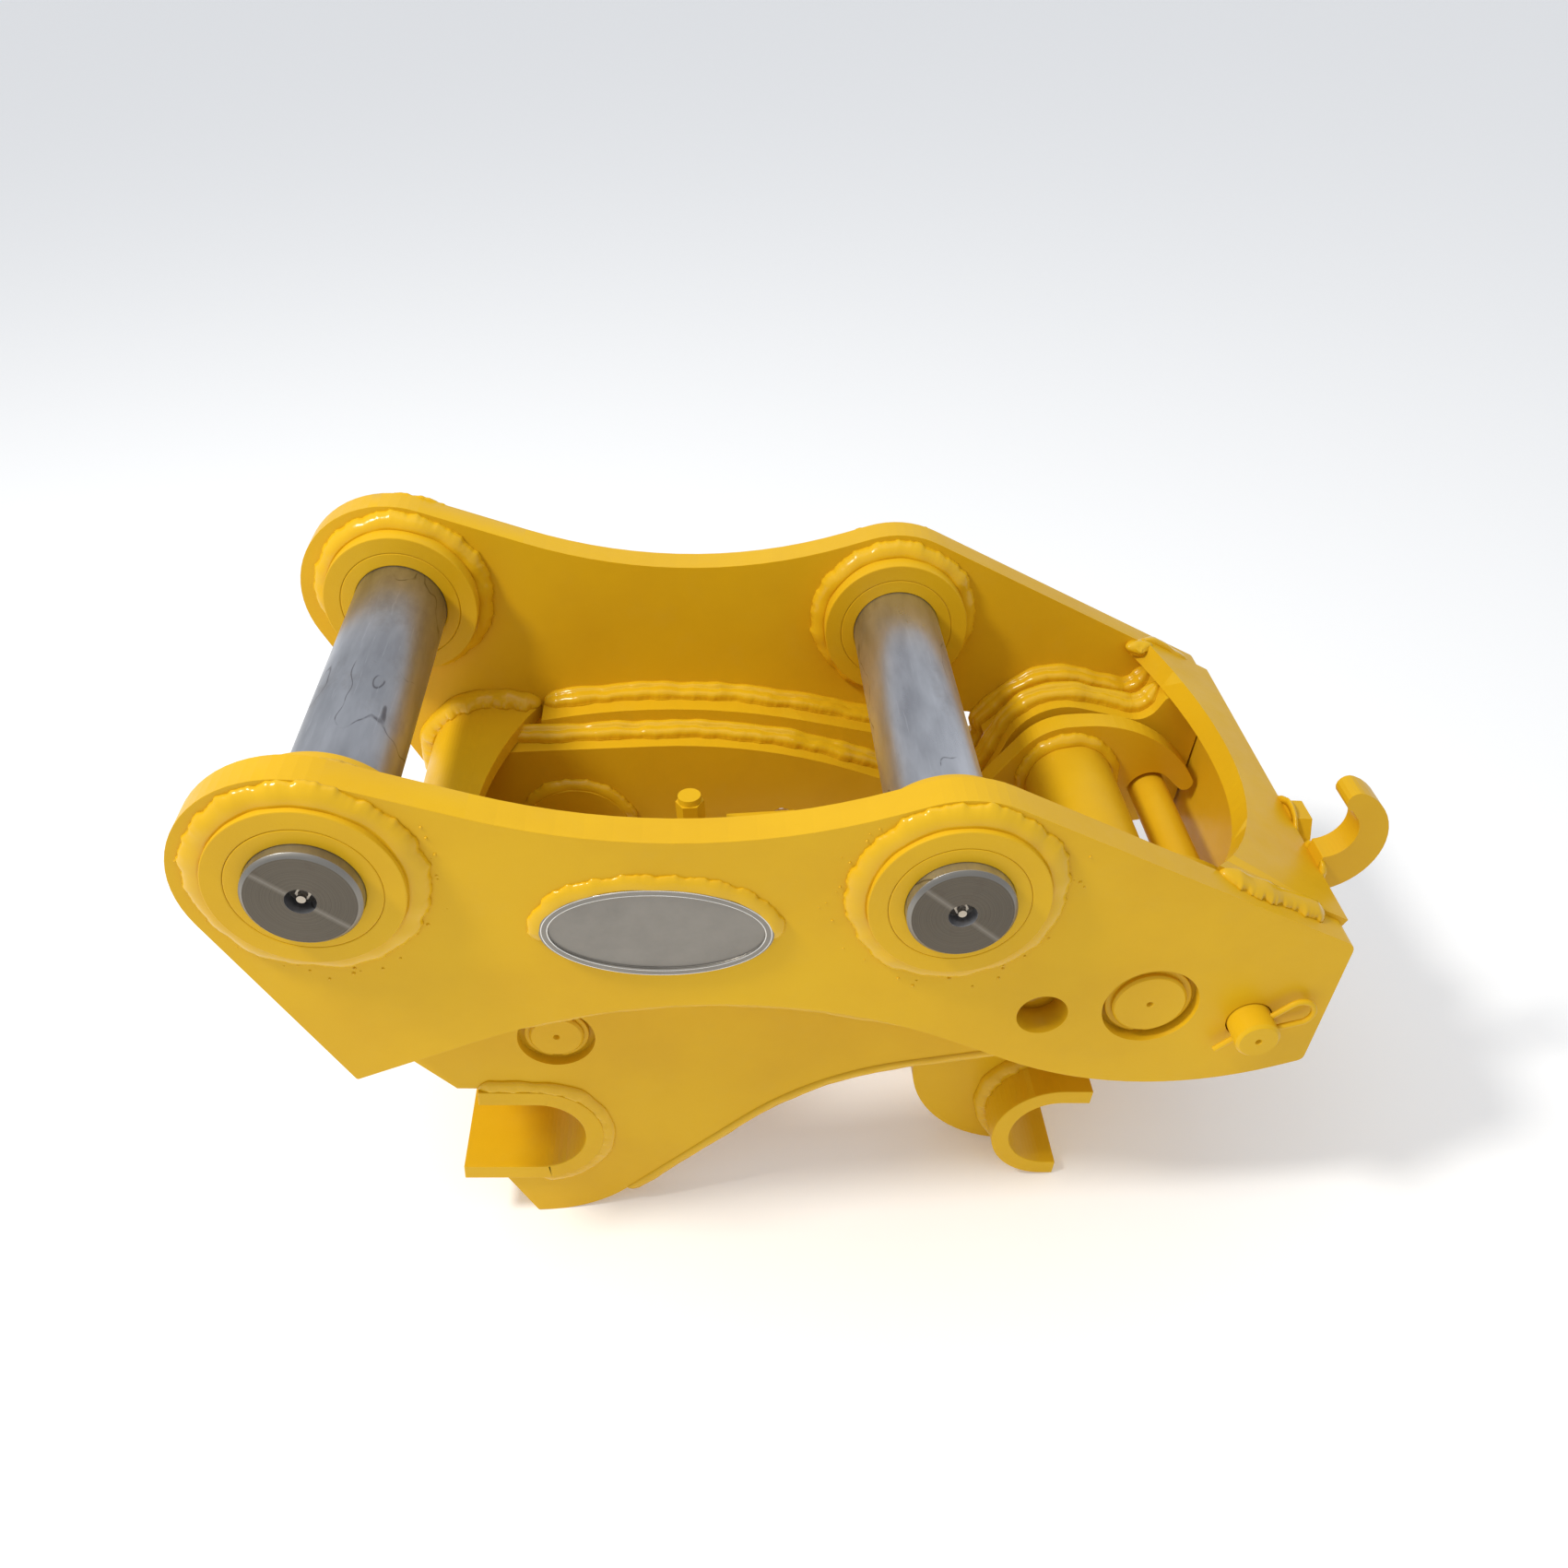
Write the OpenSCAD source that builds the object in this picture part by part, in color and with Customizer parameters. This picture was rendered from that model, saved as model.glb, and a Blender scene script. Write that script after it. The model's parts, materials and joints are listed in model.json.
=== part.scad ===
// Hydraulic quick coupler for a 20 t class excavator.
// Design frame: the front pin axis is the origin, X runs to the rear pin, Y along the pins
// (near side negative), Z up. stand() turns that frame so that the coupler rests on its
// fixed jaw and its hook, with the bounding box centred on the Z axis and its foot at Z = 0.

/* [Main pins] */
// Distance between the two excavator pins
pin_spacing = 450; // [440:1:460]
// Diameter of both excavator pins
pin_d = 80; // [75:1:82]
// Width of the gap that takes the excavator arm
arm_gap = 320; // [310:1:326]
// Outside diameter of the welded collars
collar_d = 134; // [128:1:138]
// Outside diameter of the pressed-in bushes
bush_d = 104; // [96:1:110]

/* [Plates] */
// Overall width over the two side plates
plates_w = 430; // [426:1:440]
// Thickness of each side plate
side_t = 28; // [25:1:30]
// Thickness of each spacer plate
spacer_t = 32; // [30:1:34]
// Thickness of each jaw plate
jaw_t = 28; // [25:1:30]
// Thickness of the rolled front shell
shell_t = 16; // [12:1:18]
// Thickness of the sloping end plate
end_t = 20; // [16:1:22]

/* [Jaws] */
// Clear height of both bucket pin seats
seat_gap = 84; // [80:1:86]
// Thickness of the rolled seat plates
seat_t = 16; // [12:1:18]
// Length of the seat plates along the pins
seat_w = 320; // [300:1:326]
// Thickness of the two hook plates
hook_t = 22; // [18:1:24]

/* [Hook mechanism] */
// Diameter of the hook pivot pin
pivot_d = 60; // [50:1:62]
// Diameter of the cylinder base pin and the rod pin
cyl_pin_d = 45; // [40:1:46]
// Bore of the locking cylinder
cyl_bore = 90; // [80:1:92]
// Diameter of the piston rod
rod_d = 55; // [45:1:60]
// Diameter of the safety pin
safety_d = 36; // [32:1:38]

/* [Hidden] */
$fn = 96;

// Colours
yellow = [0.90, 0.68, 0.07];
steel = [0.55, 0.57, 0.60];
dark = [0.12, 0.12, 0.12];

// Clearances
fit = 0.05;       // radial running clearance of a pin in its bore
open_fit = 1.9;   // radial clearance of the rod pin in the rod eye
safety_fit = 1.2; // radial clearance of the safety pin
cut = 1;          // overrun of a cut past the face it opens

// Distances from the middle plane
side_out = plates_w / 2;
side_in = side_out - side_t;
spacer_in = side_in - spacer_t;
jaw_in = spacer_in - jaw_t;
hook_out = jaw_in - 12;
hook_in = hook_out - hook_t;
collar_out = side_out + 13;
collar_in = arm_gap / 2;
pin_end = collar_out + 11;

// Round holes through the plates
access_r = 20.5;
pivot_recess_r = pivot_d / 2 + 9;
pivot_recess = 12;
base_recess_r = cyl_pin_d / 2 + 9.5;
base_recess = 9;
drain_c = [356, -199];
drain_r = 11;

// Circlips: depth of the groove, width, and height above the pin's surface
small_clip_depth = 1.5;
small_clip_w = 2.5;
small_clip_ear = 4;
pivot_clip_depth = 2;
pivot_clip_w = 3;
pivot_clip_ear = 5;

// Centres in the design frame, [x, z]
front_c = [0, 0];
rear_c = [pin_spacing, 0];
pivot_c = [624, -113];
safety_c = [710, -127];
access_c = [538, -124];
base_c = [155, -221];
fixed_c = [136, -342];
hook_c = [604, -337];
lever_r = 86.7;
rod_pin_angle = 225;
rod_c = pivot_c + lever_r * [cos(rod_pin_angle), sin(rod_pin_angle)];

// Seat and toe radii
seat_ri = seat_gap / 2;
seat_ro = seat_ri + seat_t;
toe_r = 112;
heel_c = [580, -291];
heel_r = 108;
shell_c = [70, -172];
shell_r = 58;

// Standing attitude: the floor touches the toe of the fixed jaw and the heel of the hook
foot = heel_c - fixed_c;
tilt = atan2(foot[1], foot[0]) + asin((toe_r - heel_r) / norm(foot));
stand_up = toe_r - (-fixed_c[0] * sin(tilt) + fixed_c[1] * cos(tilt));
nose = [-6, -3, 86];
lift_c = [770, -15];
lift_r = 53;
function level_x(c) = c[0] * cos(tilt) + c[1] * sin(tilt);
stand_back = -(level_x(nose) - nose[2] + level_x(lift_c) + lift_r) / 2;

module stand() {
  translate([stand_back, 0, stand_up]) rotate([0, tilt, 0]) children();
}

// ---- outline helpers, all in the [x, z] plane ----

// Heading of the line that leaves circle a and reaches circle b. A circle is [x, z, r]:
// the outline runs counter-clockwise round it if r > 0 and clockwise round it if r < 0.
function heading(a, b) =
  let (d = [b[0] - a[0], b[1] - a[1]]) atan2(d[1], d[0]) - asin((b[2] - a[2]) / norm(d));
function on_circle(c, h) = [c[0] + c[2] * sin(h), c[1] - c[2] * cos(h)];
function turn(h0, h1, ccw) =
  let (t = (h1 - h0) % 360) ccw ? (t < 0 ? t + 360 : t) : (t > 0 ? t - 360 : t);
// Outline that wraps a closed row of circles, like a belt round pulleys
function belt(c, step = 7) = [
  for (i = [0:len(c) - 1])
    let (
      n = len(c), prev = c[(i + n - 1) % n], next = c[(i + 1) % n],
      h0 = heading(prev, c[i]), h1 = heading(c[i], next),
      t = turn(h0, h1, c[i][2] >= 0),
      size = max(0.5, abs(c[i][2])),
      k = c[i][2] == 0 ? 0 : max(1, ceil(abs(t) / min(30, step * sqrt(60 / size))))
    )
    for (j = [0:k]) on_circle(c[i], h0 + (k == 0 ? 0 : t * j / k))
];
// Points along a circle from angle a0 to a1
function arc(c, r, a0, a1, n = 16) =
  [for (i = [0:n]) let (a = a0 + (a1 - a0) * i / n) [c[0] + r * cos(a), c[1] + r * sin(a)]];
// Centre of the circle through three points
function centre3(p, q, s) =
  let (
    d = 2 * (p[0] * (q[1] - s[1]) + q[0] * (s[1] - p[1]) + s[0] * (p[1] - q[1])),
    pp = p * p, qq = q * q, ss = s * s
  )
  [(pp * (q[1] - s[1]) + qq * (s[1] - p[1]) + ss * (p[1] - q[1])) / d,
   (pp * (s[0] - q[0]) + qq * (p[0] - s[0]) + ss * (q[0] - p[0])) / d];
// Points of the arc from p through q to s
function arc3(p, q, s, n = 24) =
  let (
    c = centre3(p, q, s), r = norm(p - c),
    a0 = atan2(p[1] - c[1], p[0] - c[0]), a1 = atan2(s[1] - c[1], s[0] - c[0]),
    am = atan2(q[1] - c[1], q[0] - c[0]),
    ccw = turn(a0, am, true) < turn(a0, a1, true)
  )
  arc(c, r, a0, a0 + turn(a0, a1, ccw), n);
function ellipse(a, b, n = 64) = [for (i = [0:n - 1]) [a * cos(i * 360 / n), b * sin(i * 360 / n)]];

// ---- solid helpers ----

// Plate with an [x, z] outline between two values of y
module slab(points, y0, y1) {
  translate([0, y1, 0]) rotate([90, 0, 0]) linear_extrude(y1 - y0) polygon(points);
}
// Round bar along y
module bar(c, r, y0, y1) {
  translate([c[0], y1, c[1]]) rotate([90, 0, 0]) cylinder(h = y1 - y0, r = r);
}
module ring(c, ro, ri, y0, y1) {
  difference() {
    bar(c, ro, y0, y1);
    bar(c, ri, y0 - cut, y1 + cut);
  }
}
// Everything is drawn for the far side; the near side is its mirror image
module side(near) {
  if (near) mirror([0, 1, 0]) children();
  else children();
}

// ---- side, spacer and jaw plates ----

function side_outline() = belt([
  [9.5, -202, 2], [292, -557, -440], [640, 98, 300], [764, -168, 7], [762, -50, 9],
  [rear_c[0], 0, 84], [230, 509, -470], nose
]);
// Rear top of the spacer and jaw plates, from the end plate down to the pivot boss
rear_top = [[758, -57, 0], [718, -43, 3], [690, -44, -22], [pivot_c[0], pivot_c[1], 58]];

module side_plate(near) {
  color(yellow) stand() side(near) difference() {
    slab(side_outline(), side_in, side_out);
    for (c = [front_c, rear_c]) bar(c, bush_d / 2, side_in - cut, side_out + cut);
    bar(pivot_c, pivot_d / 2 + fit, side_in - cut, side_out + cut);
    bar(pivot_c, pivot_recess_r, side_out - pivot_recess, side_out + cut);
    bar(access_c, access_r, side_in - cut, side_out + cut);
    bar(safety_c, safety_d / 2 + safety_fit, side_in - cut, side_out + cut);
  }
}

function spacer_outline() = belt(concat([
  [122, -168, 2], [292, -579, -440], [640, 98, 296], [748, -174, 6]], rear_top, [
  [525, -95, -30], [275, -713.5, 620], [120, -113, 0]
]));

module spacer_plate(near) {
  color(yellow) stand() side(near) difference() {
    slab(spacer_outline(), spacer_in, side_in);
    bar(pivot_c, pivot_d / 2 + fit, spacer_in - cut, side_in + cut);
    bar(access_c, access_r, spacer_in - cut, side_in + cut);
    bar(safety_c, safety_d / 2 + safety_fit, spacer_in - cut, side_in + cut);
  }
}

function jaw_outline() = belt(concat([
  [133, fixed_c[1] - toe_r, 0], [fixed_c[0], fixed_c[1], toe_r], [508, -510, -270],
  [640, 98, 298], [749, -176, 6]], rear_top, [
  [520, -132, -36], [275, -616.5, 500], [shell_c[0], shell_c[1], shell_r - shell_t - 4],
  [31, -236, 5], [86, -300, 0], [104, fixed_c[1] - seat_ro, 0]
]));

module jaw_plate(near) {
  mouth = 150;
  color(yellow) stand() side(near) difference() {
    slab(jaw_outline(), jaw_in, spacer_in);
    bar(fixed_c, seat_ro, jaw_in - cut, spacer_in + cut);
    translate([fixed_c[0] - mouth, jaw_in - cut, fixed_c[1] - seat_ro])
      cube([mouth, jaw_t + 2 * cut, 2 * seat_ro]);
    bar(pivot_c, pivot_d / 2 + fit, jaw_in - cut, spacer_in + cut);
    bar(base_c, cyl_pin_d / 2 + fit, jaw_in - cut, spacer_in + cut);
    bar(base_c, base_recess_r, spacer_in - base_recess, spacer_in + cut);
    bar(access_c, access_r, jaw_in - cut, spacer_in + cut);
    bar(safety_c, safety_d / 2 + safety_fit, jaw_in - cut, spacer_in + cut);
    if (!near) bar(drain_c, drain_r, jaw_in - cut, spacer_in + cut);
  }
}

// ---- bosses of the excavator pins ----

module outer_collar(c, near) {
  color(yellow) stand() side(near) ring(c, collar_d / 2, bush_d / 2, side_out, collar_out);
}
module inner_collar(c, near) {
  color(yellow) stand() side(near) ring(c, collar_d / 2, bush_d / 2, collar_in, side_in);
}
module bush(c, near) {
  color(yellow) stand() side(near) ring(c, bush_d / 2, pin_d / 2 + fit, collar_in, collar_out);
}

// ---- cross members ----

// Rolled plate with a U section that opens towards -x; the lower arm is the longer one
module fixed_seat() {
  up = 48;
  low = 66;
  color(yellow) stand() slab(concat(
    arc(fixed_c, seat_ro, -90, 90, 32),
    [fixed_c + [-up, seat_ro], fixed_c + [-up, seat_ri]],
    arc(fixed_c, seat_ri, 90, -90, 32),
    [fixed_c + [-low, -seat_ri], fixed_c + [-low, -seat_ro]]
  ), -seat_w / 2, seat_w / 2);
}

// Rolled shell behind the front pin, with a narrower apron down to the fixed seat
module front_shell() {
  ri = shell_r - shell_t;
  front_x = shell_c[0] - shell_r;
  foot_z = -206;
  apron_z = -190;
  back_x = 118;
  dip = 43;
  color(yellow) stand() {
    difference() {
      slab(concat(
        [[shell_c[0] - ri, foot_z], [front_x, foot_z]],
        arc(shell_c, shell_r, 180, 90, 24),
        [[back_x, shell_c[1] + shell_r], [back_x, shell_c[1] + ri]],
        arc(shell_c, ri, 90, 180, 24)
      ), -side_in, side_in);
      // concave rear edge of the flat top
      translate([0, 0, shell_c[1]]) linear_extrude(shell_r + 10) polygon(concat(
        arc3([back_x, -side_in], [back_x - dip, 0], [back_x, side_in]),
        [[back_x + 20, side_in + 1], [back_x + 20, -side_in - 1]]
      ));
    }
    slab([
      [front_x, apron_z], [front_x, foot_z], [24, -250],
      [88, fixed_c[1] + seat_ro], [112, fixed_c[1] + seat_ro], [38, -240],
      [shell_c[0] - ri, foot_z], [shell_c[0] - ri, apron_z]
    ], -jaw_in, jaw_in);
  }
}

// Sloping plate between the side plates, bent down at the rear, with a concave front edge
slope = atan(0.4265);
slope_at = [483, 77.3];
end_x = 775;
rear_t = 16;
wall_foot = -174;
module end_plate() {
  lift = 5;
  lap = 6;
  u_end = (end_x - slope_at[0]) / cos(slope);
  u_near = (652 - slope_at[0]) / cos(slope);
  u_mid = (738 - slope_at[0]) / cos(slope);
  u_far = (698 - slope_at[0]) / cos(slope);
  top_z = slope_at[1] - (end_x - slope_at[0]) * tan(slope) + lift / cos(slope);
  color(yellow) stand() {
    translate([slope_at[0], 0, slope_at[1]]) rotate([0, slope, 0])
      translate([0, 0, lift - end_t]) linear_extrude(end_t) polygon(concat(
        arc3([u_near, -side_in], [u_mid, 35], [u_far, side_in]),
        [[u_end - lift * sin(slope), side_in], [u_end - lift * sin(slope), -side_in]]
      ));
    translate([end_x - rear_t, -side_in, wall_foot])
      cube([rear_t, plates_w - 2 * side_t, top_z - wall_foot - end_t / cos(slope) + lap]);
  }
}

// C-shaped plate hook on the rear of the end plate
module lifting_hook() {
  c_in = [771, -6];
  r_in = 25;
  y0 = -123;
  y1 = -98;
  tip = [785, 26, 9];
  color(yellow) stand() slab(concat(
    [[end_x, -75]],
    arc(lift_c, lift_r, -84, 62, 20),
    arc([tip[0], tip[1]], tip[2], 70, 260, 8),
    arc(c_in, r_in, 50, -80, 16),
    [[end_x, c_in[1] - r_in]]
  ), y0, y1);
}

// Hexagon-headed plug beside the lifting hook
module rear_plug() {
  collar_h = 4;
  head_h = 13;
  color(yellow) stand() translate([end_x, -48, -61]) rotate([0, 90, 0]) union() {
    cylinder(h = collar_h, r = 24);
    translate([0, 0, collar_h]) rotate(30) cylinder(h = head_h, r = 26, $fn = 6);
  }
}

// Oval plate with a raised rim on the near side plate
module name_plate() {
  a = 84;
  b = 41;
  plate_t = 3;
  rim_w = 6;
  rim_h = 1.6;
  plate_c = [236, -41];
  color(steel) stand() translate([plate_c[0], -side_out, plate_c[1]]) rotate([90, 0, 0]) {
    linear_extrude(plate_t) polygon(ellipse(a, b));
    translate([0, 0, plate_t]) linear_extrude(rim_h) difference() {
      polygon(ellipse(a, b));
      polygon(ellipse(a - rim_w, b - rim_w));
    }
  }
}

module base_pin_boss(near) {
  boss_r = 52;
  boss_w = 8;
  color(yellow) stand() side(near)
    ring(base_c, boss_r, cyl_pin_d / 2 + fit, jaw_in - boss_w, jaw_in);
}

// ---- pins ----

// Bar with a chamfer at each end and a circlip groove near each end
module grooved_pin(c, r, end, groove, groove_w, groove_r) {
  chamfer = 2;
  difference() {
    union() {
      bar(c, r, -end + chamfer, end - chamfer);
      for (s = [-1, 1]) translate([c[0], s * (end - chamfer), c[1]]) rotate([s * -90, 0, 0])
        cylinder(h = chamfer, r1 = r, r2 = r - chamfer);
    }
    for (s = [-1, 1]) translate([0, s * (groove + groove_w / 2), 0])
      ring(c, r + cut, groove_r, -groove_w / 2, groove_w / 2);
    // centre drilling in both ends
    for (s = [-1, 1]) translate([c[0], s * (end + 0.1), c[1]]) rotate([s * 90, 0, 0])
      cylinder(h = 4, r1 = 3, r2 = 1);
  }
}
module circlips(c, ro, ri, groove, w) {
  gap = 8;
  for (s = [-1, 1]) translate([0, s * (groove + w / 2), 0]) difference() {
    ring(c, ro, ri, -w / 2, w / 2);
    // gap between the circlip's two eyes
    translate([c[0] - gap / 2, -w, c[1] - ro - cut]) cube([gap, 2 * w, ro - ri + 3 * cut]);
  }
}

base_end = spacer_in - 1.5;
base_groove = base_end - 6;
module base_pin() {
  color(yellow) stand() grooved_pin(base_c, cyl_pin_d / 2, base_end, base_groove,
    small_clip_w, cyl_pin_d / 2 - small_clip_depth);
}
module base_pin_circlips() {
  color(yellow) stand() circlips(base_c, cyl_pin_d / 2 + small_clip_ear,
    cyl_pin_d / 2 - small_clip_depth, base_groove, small_clip_w);
}

pivot_end = side_out - 2;
pivot_groove = pivot_end - 8;
module pivot_pin() {
  color(yellow) stand() grooved_pin(pivot_c, pivot_d / 2, pivot_end, pivot_groove,
    pivot_clip_w, pivot_d / 2 - pivot_clip_depth);
}
module pivot_pin_circlips() {
  color(yellow) stand() circlips(pivot_c, pivot_d / 2 + pivot_clip_ear,
    pivot_d / 2 - pivot_clip_depth, pivot_groove, pivot_clip_w);
}

// Excavator pin: chamfered bar with a nipple pocket in its near end
pocket_depth = 12;
pocket_r = 10.5;
module main_pin(c) {
  chamfer = 3;
  color(steel) stand() difference() {
    union() {
      bar(c, pin_d / 2, -pin_end + chamfer, pin_end - chamfer);
      for (s = [-1, 1]) translate([c[0], s * (pin_end - chamfer), c[1]]) rotate([s * -90, 0, 0])
        cylinder(h = chamfer, r1 = pin_d / 2, r2 = pin_d / 2 - chamfer);
    }
    bar(c, pocket_r, -pin_end - cut, -pin_end + pocket_depth);
  }
}
// Grease nipple standing in the pocket
module pin_nipple(c) {
  hex_h = 4;
  neck_h = 3;
  head_h = 3;
  color(steel) stand() translate([c[0], -pin_end + pocket_depth, c[1]]) rotate([90, 0, 0]) {
    cylinder(h = hex_h, r = 5.5, $fn = 6);
    translate([0, 0, hex_h]) cylinder(h = neck_h, r1 = 3.4, r2 = 2.4);
    translate([0, 0, hex_h + neck_h]) cylinder(h = head_h, r = 3.1);
  }
}

// ---- locking cylinder, drawn along +x from its base eye ----

rod_line = rod_c - base_c;
rod_reach = norm(rod_line);
rod_rise = atan2(rod_line[1], rod_line[0]);
barrel_r = cyl_bore / 2 + 10;
cap_x = 42;
barrel_x = 64;
barrel_end = 262;
gland_end = 288;
piston_x = 130;
piston_w = 44;
eye_w = 100;

module cyl() {
  stand() translate([base_c[0], 0, base_c[1]]) rotate([0, -rod_rise, 0]) children();
}
// Round bar along the cylinder's own axis
module axial(r, x0, x1) {
  translate([x0, 0, 0]) rotate([0, 90, 0]) cylinder(h = x1 - x0, r = r);
}
module tube(ro, ri, x0, x1) {
  difference() {
    axial(ro, x0, x1);
    axial(ri, x0 - cut, x1 + cut);
  }
}

module cylinder_base_eye() {
  base_eye_r = 38;
  neck_h = 68;
  color(yellow) cyl() difference() {
    union() {
      bar([0, 0], base_eye_r, -eye_w / 2, eye_w / 2);
      translate([0, -eye_w / 2, -neck_h / 2]) cube([cap_x + 4, eye_w, neck_h]);
      axial(barrel_r, cap_x, barrel_x);
    }
    bar([0, 0], cyl_pin_d / 2 + fit, -eye_w / 2 - cut, eye_w / 2 + cut);
  }
}

// Places of the two ports along the barrel, and heights of their hose adaptors
port_x = [120, 240];
adaptor_h = [58, 24];
port_r = 16;
port_bore_r = 6;
port_top = barrel_r + 9;
module cylinder_barrel() {
  color(yellow) cyl() difference() {
    union() {
      axial(barrel_r, barrel_x, barrel_end);
      for (x = port_x) translate([x, 0, 0]) cylinder(h = port_top, r = port_r);
    }
    axial(cyl_bore / 2, barrel_x - cut, barrel_end + cut);
    for (x = port_x) cylinder_port(x);
  }
}
module cylinder_port(x) {
  translate([x, 0, 0]) cylinder(h = port_top + cut, r = port_bore_r);
}

spigot = 10;
wiper_r = rod_d / 2 + 6;
wiper_x = gland_end - 6;
module cylinder_gland() {
  color(yellow) cyl() difference() {
    union() {
      axial(barrel_r + 3, barrel_end, gland_end);
      axial(cyl_bore / 2, barrel_end - spigot, barrel_end);
    }
    axial(rod_d / 2 + fit, barrel_end - spigot - cut, gland_end + cut);
    axial(wiper_r, wiper_x, gland_end + cut);
  }
}
module gland_wiper() {
  color(dark) cyl() tube(wiper_r, rod_d / 2 + fit, wiper_x, gland_end + 2);
}

seal_x = [piston_x + 8, piston_x + 28];
seal_w = 7;
seal_ri = cyl_bore / 2 - 5;
stub_r = 14;
module cylinder_piston() {
  color(steel) cyl() difference() {
    axial(cyl_bore / 2 - fit, piston_x, piston_x + piston_w);
    for (x = seal_x) tube(cyl_bore / 2 + cut, seal_ri, x, x + seal_w);
    axial(stub_r, piston_x - cut, piston_x + piston_w + cut);
  }
}
module piston_seals() {
  color(dark) cyl() for (x = seal_x) tube(cyl_bore / 2 - fit, seal_ri, x, x + seal_w);
}

eye_r = 36;
eye_half = 45;
eye_neck = 8;
module cylinder_rod() {
  color(steel) cyl() union() {
    axial(stub_r, piston_x - 6, piston_x + piston_w);
    axial(rod_d / 2, piston_x + piston_w, rod_reach - eye_r - eye_neck);
  }
}
module rod_eye() {
  color(yellow) cyl() translate([rod_reach, 0, 0]) difference() {
    union() {
      bar([0, 0], eye_r, -eye_half, eye_half);
      axial(rod_d / 2 + 4, -eye_r - eye_neck, -eye_r + 14);
    }
    bar([0, 0], cyl_pin_d / 2 + open_fit, -eye_half - cut, eye_half + cut);
  }
}

// Hose adaptors on the two ports, closed by screw caps
adaptor_r = 8;
cap_h = 18;
module port_adaptors() {
  color(yellow) cyl() for (i = [0, 1]) translate([port_x[i], 0, port_top]) difference() {
    union() {
      cylinder(h = 6, r = 14, $fn = 6);
      cylinder(h = adaptor_h[i], r = adaptor_r);
    }
    translate([0, 0, -cut]) cylinder(h = adaptor_h[i] + 2 * cut, r = 4);
  }
}
module port_caps() {
  color(yellow) cyl() for (i = [0, 1])
    translate([port_x[i], 0, port_top + adaptor_h[i] - cap_h]) {
      difference() {
        cylinder(h = cap_h, r = 12.5, $fn = 6);
        translate([0, 0, -cut]) cylinder(h = cap_h + 2 * cut, r = adaptor_r);
      }
      translate([0, 0, cap_h]) cylinder(h = 6, r = 10);
    }
}
module lock_valve() {
  block = [62, 48, 38];
  plug_h = 10;
  x0 = 150;
  x1 = x0 + block[0];
  color(yellow) cyl() difference() {
    union() {
      translate([x0, -block[1] / 2, barrel_r - 6]) cube(block);
      for (x = [x0 - plug_h, x1]) translate([x, 0, barrel_r + 17]) rotate([0, 90, 0])
        cylinder(h = plug_h, r = 11, $fn = 6);
    }
    axial(barrel_r, x0 - 2 * plug_h, x1 + 2 * plug_h);
  }
}

// ---- movable hook ----

function hook_outline() = belt([
  [heel_c[0], heel_c[1], heel_r], [614, -396, 0], [631, -300, 0],
  [630, hook_c[1] + seat_ro, 0], [pivot_c[0], pivot_c[1], 64], [safety_c[0], safety_c[1], -22.8],
  [745, -116, 8], [645, -179, 126], [pivot_c[0], pivot_c[1], 58], [rod_c[0], rod_c[1], 40]
]);

module hook_plate(near) {
  mouth = 60;
  lip = 4;
  color(yellow) stand() side(near) difference() {
    slab(hook_outline(), hook_in, hook_out);
    bar(hook_c, seat_ro, hook_in - cut, hook_out + cut);
    translate([hook_c[0], hook_in - cut, hook_c[1] - seat_ro - lip])
      cube([mouth, hook_t + 2 * cut, 2 * seat_ro + lip]);
    bar(pivot_c, pivot_d / 2 + fit, hook_in - cut, hook_out + cut);
    bar(rod_c, cyl_pin_d / 2 + fit, hook_in - cut, hook_out + cut);
  }
}
module hook_hub() {
  color(yellow) stand() ring(pivot_c, 42, pivot_d / 2 + fit, -hook_in, hook_in);
}
// Rolled seat that opens towards +x; the upper arm is the longer one
module hook_seat() {
  up = 25;
  low = 10;
  color(yellow) stand() slab(concat(
    [hook_c + [up, seat_ri], hook_c + [up, seat_ro]],
    arc(hook_c, seat_ro, 90, 270, 32),
    [hook_c + [low, -seat_ro], hook_c + [low, -seat_ri]],
    arc(hook_c, seat_ri, 270, 90, 32)
  ), -seat_w / 2, seat_w / 2);
}

rod_pin_end = hook_out + 8;
rod_pin_groove = hook_out + 0.5;
module rod_pin() {
  color(yellow) stand() grooved_pin(rod_c, cyl_pin_d / 2, rod_pin_end, rod_pin_groove,
    small_clip_w, cyl_pin_d / 2 - small_clip_depth);
}
module rod_pin_circlips() {
  color(yellow) stand() circlips(rod_c, cyl_pin_d / 2 + small_clip_ear,
    cyl_pin_d / 2 - small_clip_depth, rod_pin_groove, small_clip_w);
}

// ---- safety pin and its spring clip ----

clip_y = -side_out - 8;
clip_angle = 46;
wire_r = 2.5;
clip_fit = 0.6;
module safety_pin() {
  chamfer = 2.5;
  head_r = safety_d / 2 + 8;
  head_w = 10;
  color(yellow) stand() difference() {
    union() {
      bar(safety_c, safety_d / 2, -pin_end + chamfer, side_out + 2);
      bar(safety_c, head_r, side_out + cut, side_out + cut + head_w);
      translate([safety_c[0], -pin_end + chamfer, safety_c[1]]) rotate([90, 0, 0])
        cylinder(h = chamfer, r1 = safety_d / 2, r2 = safety_d / 2 - chamfer);
    }
    translate([safety_c[0], clip_y, safety_c[1]]) rotate([0, -clip_angle, 0])
      axial(wire_r + clip_fit, -safety_d, safety_d);
    translate([safety_c[0], -pin_end - 0.1, safety_c[1]]) rotate([-90, 0, 0])
      cylinder(h = 4, r1 = 3, r2 = 1);
  }
}

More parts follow.
